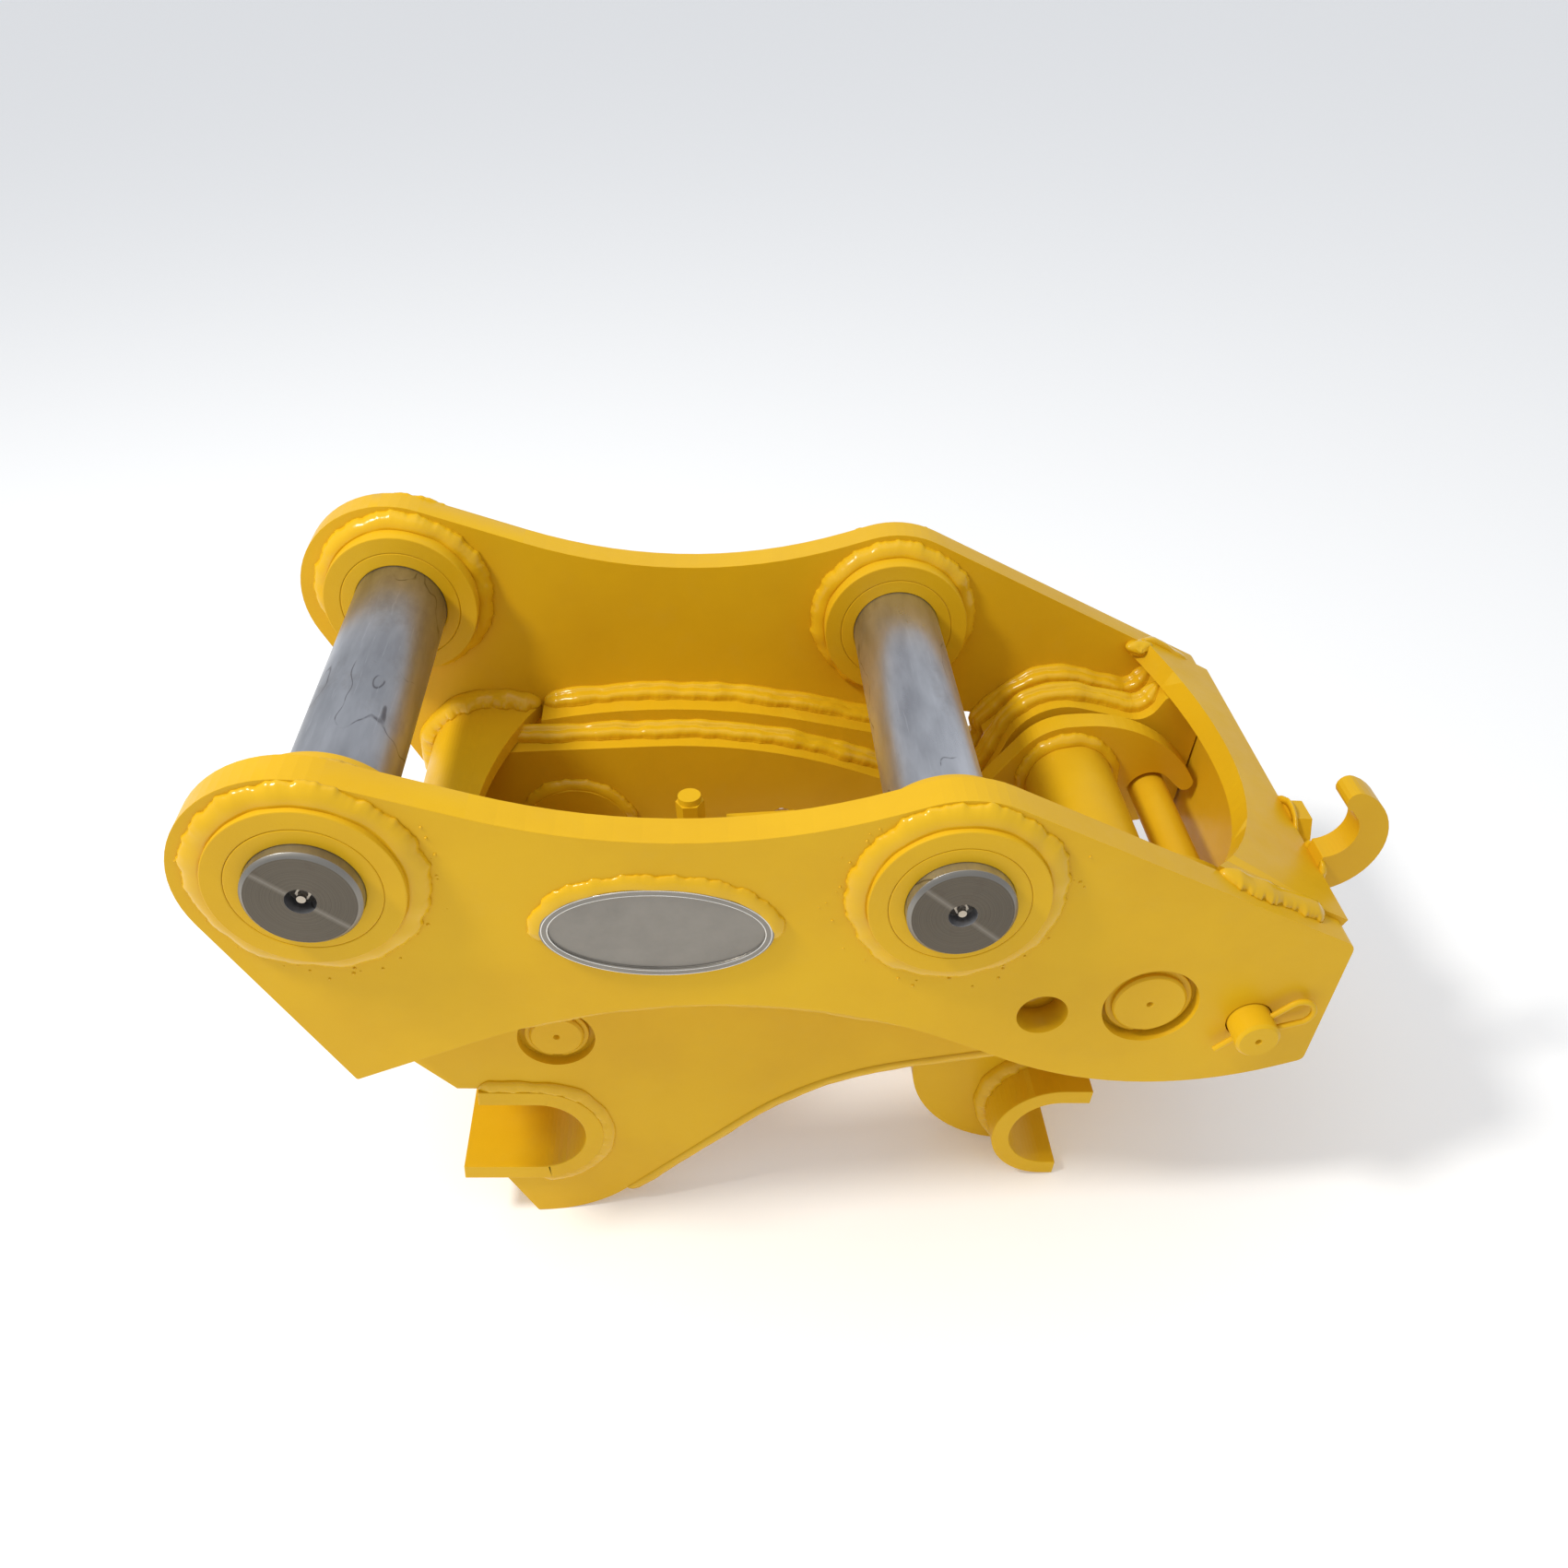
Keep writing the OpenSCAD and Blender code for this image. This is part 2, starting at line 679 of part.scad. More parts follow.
// Round wire along a row of [u, v] points
module wire(path) {
  n = len(path);
  sides = 12;
  function way(i) = let (d = path[min(i + 1, n - 1)] - path[max(i - 1, 0)]) d / norm(d);
  points = [
    for (i = [0:n - 1]) for (j = [0:sides - 1])
      let (w = way(i), a = 360 * j / sides, c = wire_r * cos(a))
      [path[i][0] - w[1] * c, path[i][1] + w[0] * c, wire_r * sin(a)]
  ];
  skin = [
    for (i = [0:n - 2]) for (j = [0:sides - 1])
      let (k = (j + 1) % sides, p = i * sides, q = p + sides)
      each [[p + j, q + j, q + k], [p + j, q + k, p + k]]
  ];
  ends = [[for (j = [0:sides - 1]) j], [for (j = [sides - 1:-1:0]) (n - 1) * sides + j]];
  polyhedron(points, concat(skin, ends), convexity = 6);
}
// Straight leg through the pin, an eye at its end, and a leg that bears on the pin
module safety_clip() {
  bear = safety_d / 2 + wire_r + clip_fit;
  eye = 12;
  eye_u = 36;
  color(yellow) stand() translate([safety_c[0], clip_y, safety_c[1]])
    rotate([90, -clip_angle, 0]) wire(concat(
      [[-36, 0]],
      arc([eye_u, -eye], eye, 90, -105, 20),
      arc([0, 0], bear, -44, -90, 8),
      [[-8, -bear - 0.3], [-15, -bear - 3]]
    ));
}

side_plate(true);  // side_plate_near
side_plate(false);  // side_plate_far
spacer_plate(true);  // spacer_plate_near
spacer_plate(false);  // spacer_plate_far
jaw_plate(true);  // jaw_plate_near
jaw_plate(false);  // jaw_plate_far
outer_collar(front_c, true);  // front_outer_collar_near
outer_collar(front_c, false);  // front_outer_collar_far
outer_collar(rear_c, true);  // rear_outer_collar_near
outer_collar(rear_c, false);  // rear_outer_collar_far
inner_collar(front_c, true);  // front_inner_collar_near
inner_collar(front_c, false);  // front_inner_collar_far
inner_collar(rear_c, true);  // rear_inner_collar_near
inner_collar(rear_c, false);  // rear_inner_collar_far
bush(front_c, true);  // front_bush_near
bush(front_c, false);  // front_bush_far
bush(rear_c, true);  // rear_bush_near
bush(rear_c, false);  // rear_bush_far
fixed_seat();
front_shell();
end_plate();
lifting_hook();
rear_plug();
name_plate();
base_pin_boss(true);  // base_pin_boss_near
base_pin_boss(false);  // base_pin_boss_far
base_pin();
base_pin_circlips();
pivot_pin();
pivot_pin_circlips();
main_pin(front_c);  // front_pin
main_pin(rear_c);  // rear_pin
pin_nipple(front_c);  // front_pin_nipple
pin_nipple(rear_c);  // rear_pin_nipple
cylinder_barrel();
cylinder_base_eye();
cylinder_gland();
gland_wiper();
cylinder_piston();
piston_seals();
cylinder_rod();
rod_eye();
port_adaptors();
port_caps();
lock_valve();
hook_plate(true);  // hook_plate_near
hook_plate(false);  // hook_plate_far
hook_hub();
hook_seat();
rod_pin();
rod_pin_circlips();
safety_pin();
safety_clip();
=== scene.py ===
"""Looks of a hydraulic quick coupler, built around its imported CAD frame."""

import json
import math

import bmesh
import bpy
import numpy as np
from mathutils import Matrix, Vector


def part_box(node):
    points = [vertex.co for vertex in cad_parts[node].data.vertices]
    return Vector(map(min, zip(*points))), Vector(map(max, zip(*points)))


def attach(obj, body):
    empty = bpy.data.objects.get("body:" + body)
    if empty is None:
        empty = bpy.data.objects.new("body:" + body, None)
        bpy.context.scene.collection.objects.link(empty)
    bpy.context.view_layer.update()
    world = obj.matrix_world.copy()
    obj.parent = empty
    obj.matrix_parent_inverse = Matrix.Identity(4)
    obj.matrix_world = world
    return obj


MM = 0.001
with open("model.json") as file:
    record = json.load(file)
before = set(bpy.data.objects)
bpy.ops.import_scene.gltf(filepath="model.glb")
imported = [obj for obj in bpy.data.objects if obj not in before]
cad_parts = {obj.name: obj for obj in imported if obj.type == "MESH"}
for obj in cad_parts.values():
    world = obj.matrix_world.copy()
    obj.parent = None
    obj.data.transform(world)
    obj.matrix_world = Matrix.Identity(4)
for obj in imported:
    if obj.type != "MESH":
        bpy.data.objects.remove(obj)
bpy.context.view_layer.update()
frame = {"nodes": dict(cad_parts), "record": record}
nodes = frame["nodes"]


# ---- the coupler's own frame: x from the front pin to the rear pin, z square to it ----

mounts = {m["name"]: Vector(m["pos_m"]) for m in frame["record"]["mounts"]}
ORIGIN = mounts["front_arm_pin"]
EX = (mounts["rear_arm_pin"] - ORIGIN).normalized()
EZ = Vector((-EX.z, 0, EX.x))
EY = Vector((0, 1, 0))


def at(x, z, y):
    """Row-frame place of a point of the coupler's own frame, in millimetres."""
    return ORIGIN + (EX * x + EZ * z + EY * y) * MM


def own(p):
    """A row-frame point as (x, z, y) in the coupler's own frame, in millimetres."""
    d = Vector(p) - ORIGIN
    return d.dot(EX) / MM, d.dot(EZ) / MM, d.y / MM


def round_node(name):
    """Centre (x, z), radius, and lowest and highest y of a round node whose axis is along y."""
    lo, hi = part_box(name)
    x, z, _ = own((lo + hi) / 2)
    return (x, z), (hi.x - lo.x) / 2 / MM, lo.y / MM, hi.y / MM


def y_span(name):
    lo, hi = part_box(name)
    return lo.y / MM, hi.y / MM


# ---- outlines read from the CAD plates ----

ON_FACE = 0.05   # mm off the face at which a point still counts as on it
FLAT = 0.99      # share of a face's normal along y that makes it a flat face of the plate


def outline(name, y):
    """Outer outline of a plate on its face at y: (x, z) points, counter-clockwise from -y."""
    bm = bmesh.new()
    bm.from_mesh(nodes[name].data)
    bmesh.ops.remove_doubles(bm, verts=bm.verts, dist=1e-6)
    links = {}
    for e in bm.edges:
        if len(e.link_faces) != 2 or any(abs(v.co.y / MM - y) > ON_FACE for v in e.verts):
            continue
        flat = [abs(f.normal.y) > FLAT for f in e.link_faces]
        if flat[0] != flat[1]:
            a, b = e.verts
            links.setdefault(a.index, []).append(b.index)
            links.setdefault(b.index, []).append(a.index)
    bm.verts.ensure_lookup_table()
    loops = []
    while links:
        start = next(iter(links))
        loop, here, last = [start], start, None
        while True:
            ahead = [i for i in links[here] if i != last]
            if not ahead or ahead[0] == start:
                break
            last, here = here, ahead[0]
            loop.append(here)
        for i in loop:
            links.pop(i, None)
        loops.append([own(bm.verts[i].co)[:2] for i in loop])
    bm.free()
    best = np.array(max(loops, key=lambda p: np.ptp(np.array(p)[:, 0])))
    x, z = best[:, 0], best[:, 1]
    turned = np.sum(x * np.roll(z, -1) - np.roll(x, -1) * z)
    return best if turned > 0 else best[::-1]


def stretch(points, start, end):
    """The part of a closed outline from the corner nearest start to the corner nearest end."""
    i = int(np.argmin(np.hypot(*(points - start).T)))
    j = int(np.argmin(np.hypot(*(points - end).T)))
    count = (j - i) % len(points)
    return np.array([points[(i + k) % len(points)] for k in range(count + 1)])


def round_angles(n):
    """n angles spread evenly over a full turn, in radians."""
    return np.radians(np.linspace(0, 360, n + 1)[:-1])


# ---- weld beads ----

STEP = 1.3           # mm between the sections of a bead
LEAST_SECTIONS = 8
RING_POINTS = 179    # points of the corner line round a collar
POINTS_ONE_PASS, POINTS_MORE_PASSES = 11, 19   # across the visible side of a section
PITCH, RIPPLE = 5.0, 0.006   # mm from ripple to ripple, and their height as a share of the bead
SINK = 0.7           # mm that a bead reaches into both surfaces
TUCK = 0.93          # its hidden edges lie this far out, as a share of its legs
RUN_OUT = 0.9        # length of an open bead's end, in leg lengths
FADE = 0.62          # size of each wave against the next longer one
WAVE_SUM = 1.6       # brings the sum of the waves to about -1 to 1
LEG_SWING, SWELL = 0.07, 0.05
TOE_ONE_PASS, TOE_MORE_PASSES = 0.075, 0.025
DRIFT, WEAVE = 0.5, 0.10
CRESCENT = 3.6       # how far the ripples trail at the bead's edges, in ripples
MEAN_ARCH = 0.64     # mean height of a ripple's arch, which keeps the bead's size
RIDGE, RIDGE_MEAN = 0.22, 0.13  # height of the ridges of the passes, as a share of the bead


def resample(points, step, closed):
    p = np.vstack([points, points[:1]]) if closed else points
    run = np.concatenate([[0], np.cumsum(np.linalg.norm(np.diff(p, axis=0), axis=1))])
    keep = np.concatenate([[True], np.diff(run) > 1e-6])
    p, run = p[keep], run[keep]
    n = max(LEAST_SECTIONS, int(run[-1] / step))
    s = np.linspace(0, run[-1], n + 1)[: n if closed else n + 1]
    return np.stack([np.interp(s, run, p[:, k]) for k in range(p.shape[1])], 1), s, run[-1]


def wander(s, total, rng, closed, waves):
    """Smooth random curve along a bead, about -1 to 1, that closes on itself on a ring.

    waves: wave lengths in millimetres, the longest first."""
    out = np.zeros_like(s)
    for i, wave in enumerate(waves):
        turns = total / wave
        turns = max(1, round(turns)) if closed else turns
        size = FADE ** i
        out += size * np.sin(2 * np.pi * (turns * s / total + rng.random()))
    return out / WAVE_SUM


def unit(v):
    return v / np.maximum(np.linalg.norm(v, axis=1, keepdims=True), 1e-9)


def bead(name, body, points, along, up, legs, seed, closed=False, passes=1, rough=1.0):
    """Fillet weld in the corner between two surfaces.

    points: the corner line (x, z, y); along and up: directions of the two surfaces away from it,
    one for each point; legs: how far the bead reaches on each, in millimetres. The toe on the
    first surface is ragged."""
    rng = np.random.default_rng(seed)
    joined = np.hstack([points, along, up])
    rows, s, total = resample(joined, STEP, closed)
    line, a, b = rows[:, :3], unit(rows[:, 3:6]), unit(rows[:, 6:9])
    taper = np.ones_like(s)
    if not closed:
        run_out = np.minimum(s, total - s) / (RUN_OUT * max(legs))
        taper = np.sqrt(np.clip(run_out, 0.0, 1.0)) * 0.9 + 0.1

    def waver(*waves):
        return wander(s, total, rng, closed, waves)

    leg_a = legs[0] * taper * (1 + LEG_SWING * rough * waver(90, 47, 26))
    leg_b = legs[1] * taper * (1 + LEG_SWING * rough * waver(80, 43, 24))
    swell = 1 + SWELL * rough * waver(58, 27)
    ragged = (TOE_ONE_PASS if passes == 1 else TOE_MORE_PASSES) * rough * waver(17, 9, 5)
    beat = max(1, round(total / PITCH)) / total
    drift = DRIFT * waver(60, 28, 12)
    weave = WEAVE * waver(80, 34, 15)
    around = POINTS_ONE_PASS if passes == 1 else POINTS_MORE_PASSES
    rings = []
    for k in range(around):
        t = k / (around - 1)
        ang = t * math.pi / 2
        crescent = CRESCENT * (t - 0.5) ** 2
        wave = (s * beat + drift - crescent) % 1.0
        scallop = np.sin(math.pi * wave) - MEAN_ARCH
        edge = math.sin(math.pi * t) ** 0.5
        reach = swell * (1 + edge * RIPPLE * rough * scallop)
        if passes > 1:
            ridge = np.abs(np.sin(passes * np.clip(ang + weave * edge, 0, math.pi / 2))) ** 0.8
            reach *= 1 + edge * (RIDGE * ridge - RIDGE_MEAN)
        toe = 1 + ragged * (1 - t) ** 2
        rings.append(line + a * (leg_a * math.cos(ang) * reach * toe)[:, None]
                     + b * (leg_b * math.sin(ang) * reach)[:, None])
    rings.append(line - a * SINK + b * (leg_b * TUCK)[:, None])
    rings.append(line - a * SINK - b * SINK)
    rings.append(line + a * (leg_a * TUCK)[:, None] - b * SINK)
    tube(name, body, np.stack(rings, 1), closed)


def tube(name, body, grid, closed, material="weld_paint"):
    """Mesh skin through rows of points (x, z, y); each row is a closed section."""
    n, m, _ = grid.shape
    flat = grid.reshape(-1, 3)
    verts = [at(*p) for p in flat]
    faces = []
    for i in range(n if closed else n - 1):
        for j in range(m):
            i2, j2 = (i + 1) % n, (j + 1) % m
            faces.append((i * m + j, i2 * m + j, i2 * m + j2, i * m + j2))
    if not closed:
        faces.append(tuple(range(m - 1, -1, -1)))
        faces.append(tuple((n - 1) * m + j for j in range(m)))
    piece(name, body, verts, faces, material)


def piece(name, body, verts, faces, material):
    mesh = bpy.data.meshes.new(name)
    mesh.from_pydata([tuple(v) for v in verts], [], faces)
    bm = bmesh.new()
    bm.from_mesh(mesh)
    bmesh.ops.recalc_face_normals(bm, faces=bm.faces)
    bm.to_mesh(mesh)
    bm.free()
    mesh.polygons.foreach_set("use_smooth", [True] * len(mesh.polygons))
    obj = bpy.data.objects.new(name, mesh)
    bpy.context.scene.collection.objects.link(obj)
    mesh.materials.append(MATERIALS[material])
    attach(obj, body)


def wire(name, points, out, r):
    """Thin bright line of worn metal along a closed row of points."""
    face = np.array((0.0, 0.0, -1.0))
    grid = [points + r * (out * math.cos(a) + face * math.sin(a)) for a in round_angles(6)]
    tube(name, "frame", np.stack(grid, 1), True, "plate_bright")


def blob(name, centre, radii, seed):
    """Lump of weld metal: an uneven ball."""
    rng = np.random.default_rng(seed)
    bands, sides = 12, 24
    phase = rng.random(3) * 6.28
    rows = []
    for i in range(bands + 1):
        lat = math.pi * (i / bands - 0.5)
        ring = []
        for j in range(sides):
            lon = 2 * math.pi * j / sides
            uneven = 1 + 0.10 * math.sin(3 * lon + phase[0]) * math.cos(lat)
            uneven += 0.08 * math.sin(5 * lat + phase[1])
            uneven += 0.06 * math.sin(6 * lon + 4 * lat + phase[2])
            ring.append((math.cos(lat) * math.cos(lon) * radii[0] * uneven + centre[0],
                         math.cos(lat) * math.sin(lon) * radii[1] * uneven + centre[1],
                         math.sin(lat) * radii[2] * uneven + centre[2]))
        rows.append(ring)
    tube(name, "frame", np.array(rows), False)


def flat3(points, y):
    """(x, z) points as (x, z, y)."""
    return np.hstack([points, np.full((len(points), 1), float(y))])


def same(vector, n):
    return np.tile(np.array(vector, float), (n, 1))


def outward(points, closed=False):
    """Outward normals of a counter-clockwise line of (x, z) points, as (x, z, y)."""
    if closed:
        d = np.roll(points, -1, axis=0) - np.roll(points, 1, axis=0)
    else:
        d = np.gradient(points, axis=0)
    return unit(np.stack([d[:, 1], -d[:, 0], np.zeros(len(d))], 1))


def ring_bead(name, body, centre, r, y, up_y, legs, seed, **more):
    """Fillet round a collar, hub or boss that stands on a plate at y and rises towards up_y."""
    a = round_angles(RING_POINTS)
    pts = np.stack([centre[0] + r * np.cos(a), centre[1] + r * np.sin(a)], 1)
    out = np.hstack([pts - np.array(centre), np.zeros((len(pts), 1))])
    bead(name, body, flat3(pts, y), unit(out), same((0, 0, up_y), len(pts)), legs, seed,
         closed=True, **more)


def edge_bead(name, body, points, y, along_y, legs, seed, **more):
    """Fillet along a plate's edge: one leg runs across the edge, the other up the next plate."""
    bead(name, body, flat3(points, y), same((0, 0, along_y), len(points)), outward(points),
         legs, seed, **more)


DROPLET = (0.5, 1.5)   # smallest and largest radius in mm


def spatter(name, body, spots, seed):
    """Small weld droplets: spots are (x, z, y, out_y) on plate faces."""
    rng = np.random.default_rng(seed)
    verts, faces = [], []
    sides, rings, ring_angle = 8, 3, 0.62
    tall, sunk, tip_sunk = 1.1, 0.25, 0.2
    for x, z, y, out in spots:
        r = rng.uniform(*DROPLET)
        base = len(verts)
        for k in range(rings):
            lift, wide = math.sin(k * ring_angle), math.cos(k * ring_angle)
            for i in range(sides):
                a = 2 * math.pi * i / sides
                verts.append(at(x + r * wide * math.cos(a), z + r * wide * math.sin(a),
                                y + out * (r * lift * tall - sunk)))
        verts.append(at(x, z, y + out * (r * tall - tip_sunk)))
        for k in range(rings - 1):
            low, high = base + sides * k, base + sides * (k + 1)
            for i in range(sides):
                j = (i + 1) % sides
                faces.append((low + i, low + j, high + j, high + i))
        top = base + sides * (rings - 1)
        faces += [(top + i, top + (i + 1) % sides, top + sides) for i in range(sides)]
        faces.append(tuple(base + sides - 1 - i for i in range(sides)))
    piece(name, body, verts, faces, "weld_paint")


# ---- materials ----


def new_material(name):
    mat = bpy.data.materials.new(name)
    mat.use_nodes = True
    tree = mat.node_tree
    return mat, tree, tree.nodes["Principled BSDF"]


def noise(tree, vector, scale, detail=4.0, rough=0.55, stretched=None):
    n = tree.nodes.new("ShaderNodeTexNoise")
    n.inputs["Scale"].default_value = scale
    n.inputs["Detail"].default_value = detail
    n.inputs["Roughness"].default_value = rough
    if stretched:
        m = tree.nodes.new("ShaderNodeMapping")
        m.inputs["Scale"].default_value = stretched
        tree.links.new(vector, m.inputs["Vector"])
        vector = m.outputs["Vector"]
    tree.links.new(vector, n.inputs["Vector"])
    return n.outputs["Fac"]


def ramp(tree, fac, stops):
    r = tree.nodes.new("ShaderNodeValToRGB")
    while len(r.color_ramp.elements) < len(stops):
        r.color_ramp.elements.new(0.5)
    for e, (pos, col) in zip(r.color_ramp.elements, stops, strict=True):
        e.position = pos
        e.color = (*col, 1)
    tree.links.new(fac, r.inputs["Fac"])
    return r.outputs["Color"]


def grey(v):
    return (v, v, v)


def mix(tree, fac, a, b, blend="MIX"):
    m = tree.nodes.new("ShaderNodeMix")  # factor, A and B of its colour mix are inputs 0, 6 and 7
    m.data_type = "RGBA"
    m.blend_type = blend
    for value, socket in ((fac, m.inputs[0]), (a, m.inputs[6]), (b, m.inputs[7])):
        if isinstance(value, bpy.types.NodeSocket):
            tree.links.new(value, socket)
        elif isinstance(value, (int, float)):
            socket.default_value = value
        else:
            socket.default_value = (*value, 1)
    return m.outputs[2]


def bump(tree, bsdf, height, strength, distance, under=None):
    b = tree.nodes.new("ShaderNodeBump")
    b.inputs["Strength"].default_value = strength
    b.inputs["Distance"].default_value = distance
    tree.links.new(height, b.inputs["Height"])
    if under is not None:
        tree.links.new(under, b.inputs["Normal"])
    tree.links.new(b.outputs["Normal"], bsdf.inputs["Normal"])
    return b.outputs["Normal"]


def object_vector(tree):
    return tree.nodes.new("ShaderNodeTexCoord").outputs["Object"]


DUST = (0.60, 0.42, 0.10)


def paint(name, base, gloss, peel, shine):
    """Machine paint: faint colour drift, orange peel, dust that dulls it in patches.

    gloss: lowest roughness; peel: strength of the orange peel; shine: how much it mirrors."""
    mat, tree, bsdf = new_material(name)
    p = object_vector(tree)
    drift = noise(tree, p, 6.0, 5.0, 0.6)
    dark = (base[0] * 0.93, base[1] * 0.90, base[2])
    light = (min(1.0, base[0] * 1.04), base[1] * 1.07, base[2])
    color = ramp(tree, drift, [(0.30, dark), (0.55, base), (0.80, light)])
    dust = noise(tree, p, 22.0, 8.0, 0.7)
    dust_fac = ramp(tree, dust, [(0.55, grey(0.0)), (0.85, grey(0.10))])
    color = mix(tree, dust_fac, color, DUST)
    tree.links.new(color, bsdf.inputs["Base Color"])
    worn = noise(tree, p, 45.0, 6.0, 0.65)
    rough = ramp(tree, worn, [(0.30, grey(gloss)), (0.75, grey(gloss + 0.16))])
    tree.links.new(rough, bsdf.inputs["Roughness"])
    bsdf.inputs["Specular IOR Level"].default_value = shine
    bsdf.inputs["Coat Weight"].default_value = 0.4 * shine * shine
    bsdf.inputs["Coat Roughness"].default_value = 0.12
    fine = noise(tree, p, 520.0, 2.0, 0.5)
    broad = noise(tree, p, 28.0, 3.0, 0.5)
    first = bump(tree, bsdf, fine, peel, 0.00025)
    bump(tree, bsdf, broad, 0.10, 0.002, first)
    return mat


def vector_math(tree, operation, a, b=None):
    n = tree.nodes.new("ShaderNodeVectorMath")
    n.operation = operation
    for value, socket in ((a, n.inputs[0]), (b, n.inputs[1])):
        if isinstance(value, bpy.types.NodeSocket):
            tree.links.new(value, socket)
        elif value is not None:
            socket.default_value = value
    return n.outputs["Value"] if operation in ("LENGTH", "DOT_PRODUCT") else n.outputs["Vector"]


def number_math(tree, operation, a, b=None):
    n = tree.nodes.new("ShaderNodeMath")
    n.operation = operation
    for value, socket in ((a, n.inputs[0]), (b, n.inputs[1])):
        if isinstance(value, bpy.types.NodeSocket):
            tree.links.new(value, socket)
        elif value is not None:
            socket.default_value = value
    return n.outputs[0]


ALONG_PIN = (0.0, 1.0, 0.0)
# ACROSS_PAINTED_HIGHLIGHT and PAINTED_HIGHLIGHT draw a painted highlight: a light line across each
# pin's turned end
ACROSS_PAINTED_HIGHLIGHT = (0.70, 0.0, 0.71)
SHAFT = ((0.25, (0.25, 0.255, 0.28)), (0.5, (0.38, 0.39, 0.42)), (0.8, (0.54, 0.55, 0.59)))
STAIN, MARK, SCRATCH = (0.17, 0.13, 0.10), (0.055, 0.045, 0.05), (0.60, 0.61, 0.65)
END_DARK, END_LIGHT = (0.085, 0.072, 0.055), (0.145, 0.125, 0.098)
PAINTED_HIGHLIGHT, BLOTCH, RIM = (0.50, 0.46, 0.40), (0.09, 0.065, 0.05), (0.25, 0.235, 0.21)


def thin_line(tree, fac, middle, half, strength):
    """Line along which a noise passes through one value."""
    return ramp(tree, fac, [(middle - half, grey(0.0)), (middle, grey(strength)),
                            (middle + half, grey(0.0))])


def shaft_color(tree, p, painted_light, stain):
    """Ground steel with bands round the pin, stains, thin dark marks and light scratches."""
    bands = noise(tree, p, 30.0, 4.0, 0.6, (1.0, 0.22, 1.0))
    # tone scales every shade: above 1 it is a painted highlight that makes the shaft look more lit
    shades = [(stop, tuple(painted_light * c for c in shade)) for stop, shade in SHAFT]
    stained = ramp(tree, stain, [(0.50, grey(0.0)), (0.72, grey(0.6))])
    color = mix(tree, stained, ramp(tree, bands, shades), STAIN)
    marks = noise(tree, p, 13.0, 2.0, 0.4, (1.6, 0.7, 1.6))
    where = ramp(tree, noise(tree, p, 17.0), [(0.43, grey(0.0)), (0.49, grey(1.0))])
    marked = mix(tree, 1.0, thin_line(tree, marks, 0.556, 0.006, 0.9), where, "MULTIPLY")
    color = mix(tree, marked, color, MARK)
    scratches = noise(tree, p, 55.0, 2.0, 0.5, (7.0, 0.3, 7.0))
    return mix(tree, thin_line(tree, scratches, 0.70, 0.04, 0.35), color, SCRATCH)


def end_color(tree, p, spoke, rings):
    """Turned end with rings, a painted highlight running across its middle, and dark blotches."""
    color = ramp(tree, rings, [(0.3, END_DARK), (0.7, END_LIGHT)])
    # Painted highlight: a light line through the centre of the turned end, standing in for its
    # gleam
    off_line = vector_math(tree, "DOT_PRODUCT", spoke, ACROSS_PAINTED_HIGHLIGHT)
    off_line = number_math(tree, "MULTIPLY", number_math(tree, "ABSOLUTE", off_line), 320.0)
    painted_highlight = ramp(tree, off_line, [(0.0, grey(0.26)), (0.25, grey(0.16)), (1.0, grey(0.0))])
    color = mix(tree, painted_highlight, color, PAINTED_HIGHLIGHT)
    blotches = noise(tree, p, 70.0, 6.0, 0.7)
    return mix(tree, ramp(tree, blotches, [(0.55, grey(0.0)), (0.8, grey(0.5))]), color, BLOTCH)


def pin_steel(name, centre, painted_light=1.0):
    """Ground shaft and turned ends with a paler rim; tone above 1 is a painted highlight on the
    shaft.
    """
    mat, tree, bsdf = new_material(name)
    p = object_vector(tree)
    stain = noise(tree, p, 9.0, 8.0, 0.7, (1.0, 0.5, 1.0))
    spoke = vector_math(tree, "SUBTRACT", p, tuple(centre))
    spoke = vector_math(tree, "MULTIPLY", spoke, (1.0, 0.0, 1.0))
    radius = tree.nodes.new("ShaderNodeCombineXYZ")
    tree.links.new(vector_math(tree, "LENGTH", spoke), radius.inputs["X"])
    rings = noise(tree, radius.outputs["Vector"], 1500.0, 3.0, 0.6)
    normal = tree.nodes.new("ShaderNodeTexCoord").outputs["Normal"]
    facing = number_math(tree, "ABSOLUTE", vector_math(tree, "DOT_PRODUCT", normal, ALONG_PIN))
    is_end = ramp(tree, facing, [(0.90, grey(0.0)), (0.97, grey(1.0))])
    is_rim = ramp(tree, facing, [(0.45, grey(0.0)), (0.60, grey(1.0))])
    color = mix(tree, is_rim, shaft_color(tree, p, painted_light, stain), RIM)
    color = mix(tree, is_end, color, end_color(tree, p, spoke, rings))
    tree.links.new(color, bsdf.inputs["Base Color"])
    bsdf.inputs["Metallic"].default_value = 0.9
    shaft_rough = ramp(tree, stain, [(0.3, grey(0.23)), (0.7, grey(0.45))])
    end_rough = ramp(tree, rings, [(0.3, grey(0.30)), (0.7, grey(0.42))])
    tree.links.new(mix(tree, is_end, shaft_rough, end_rough), bsdf.inputs["Roughness"])
    bsdf.inputs["Anisotropic"].default_value = 0.55
    lay = vector_math(tree, "NORMALIZE", vector_math(tree, "CROSS_PRODUCT", ALONG_PIN, spoke))
    tree.links.new(lay, bsdf.inputs["Tangent"])
    bump(tree, bsdf, rings, 0.18, 0.0001)
    return mat


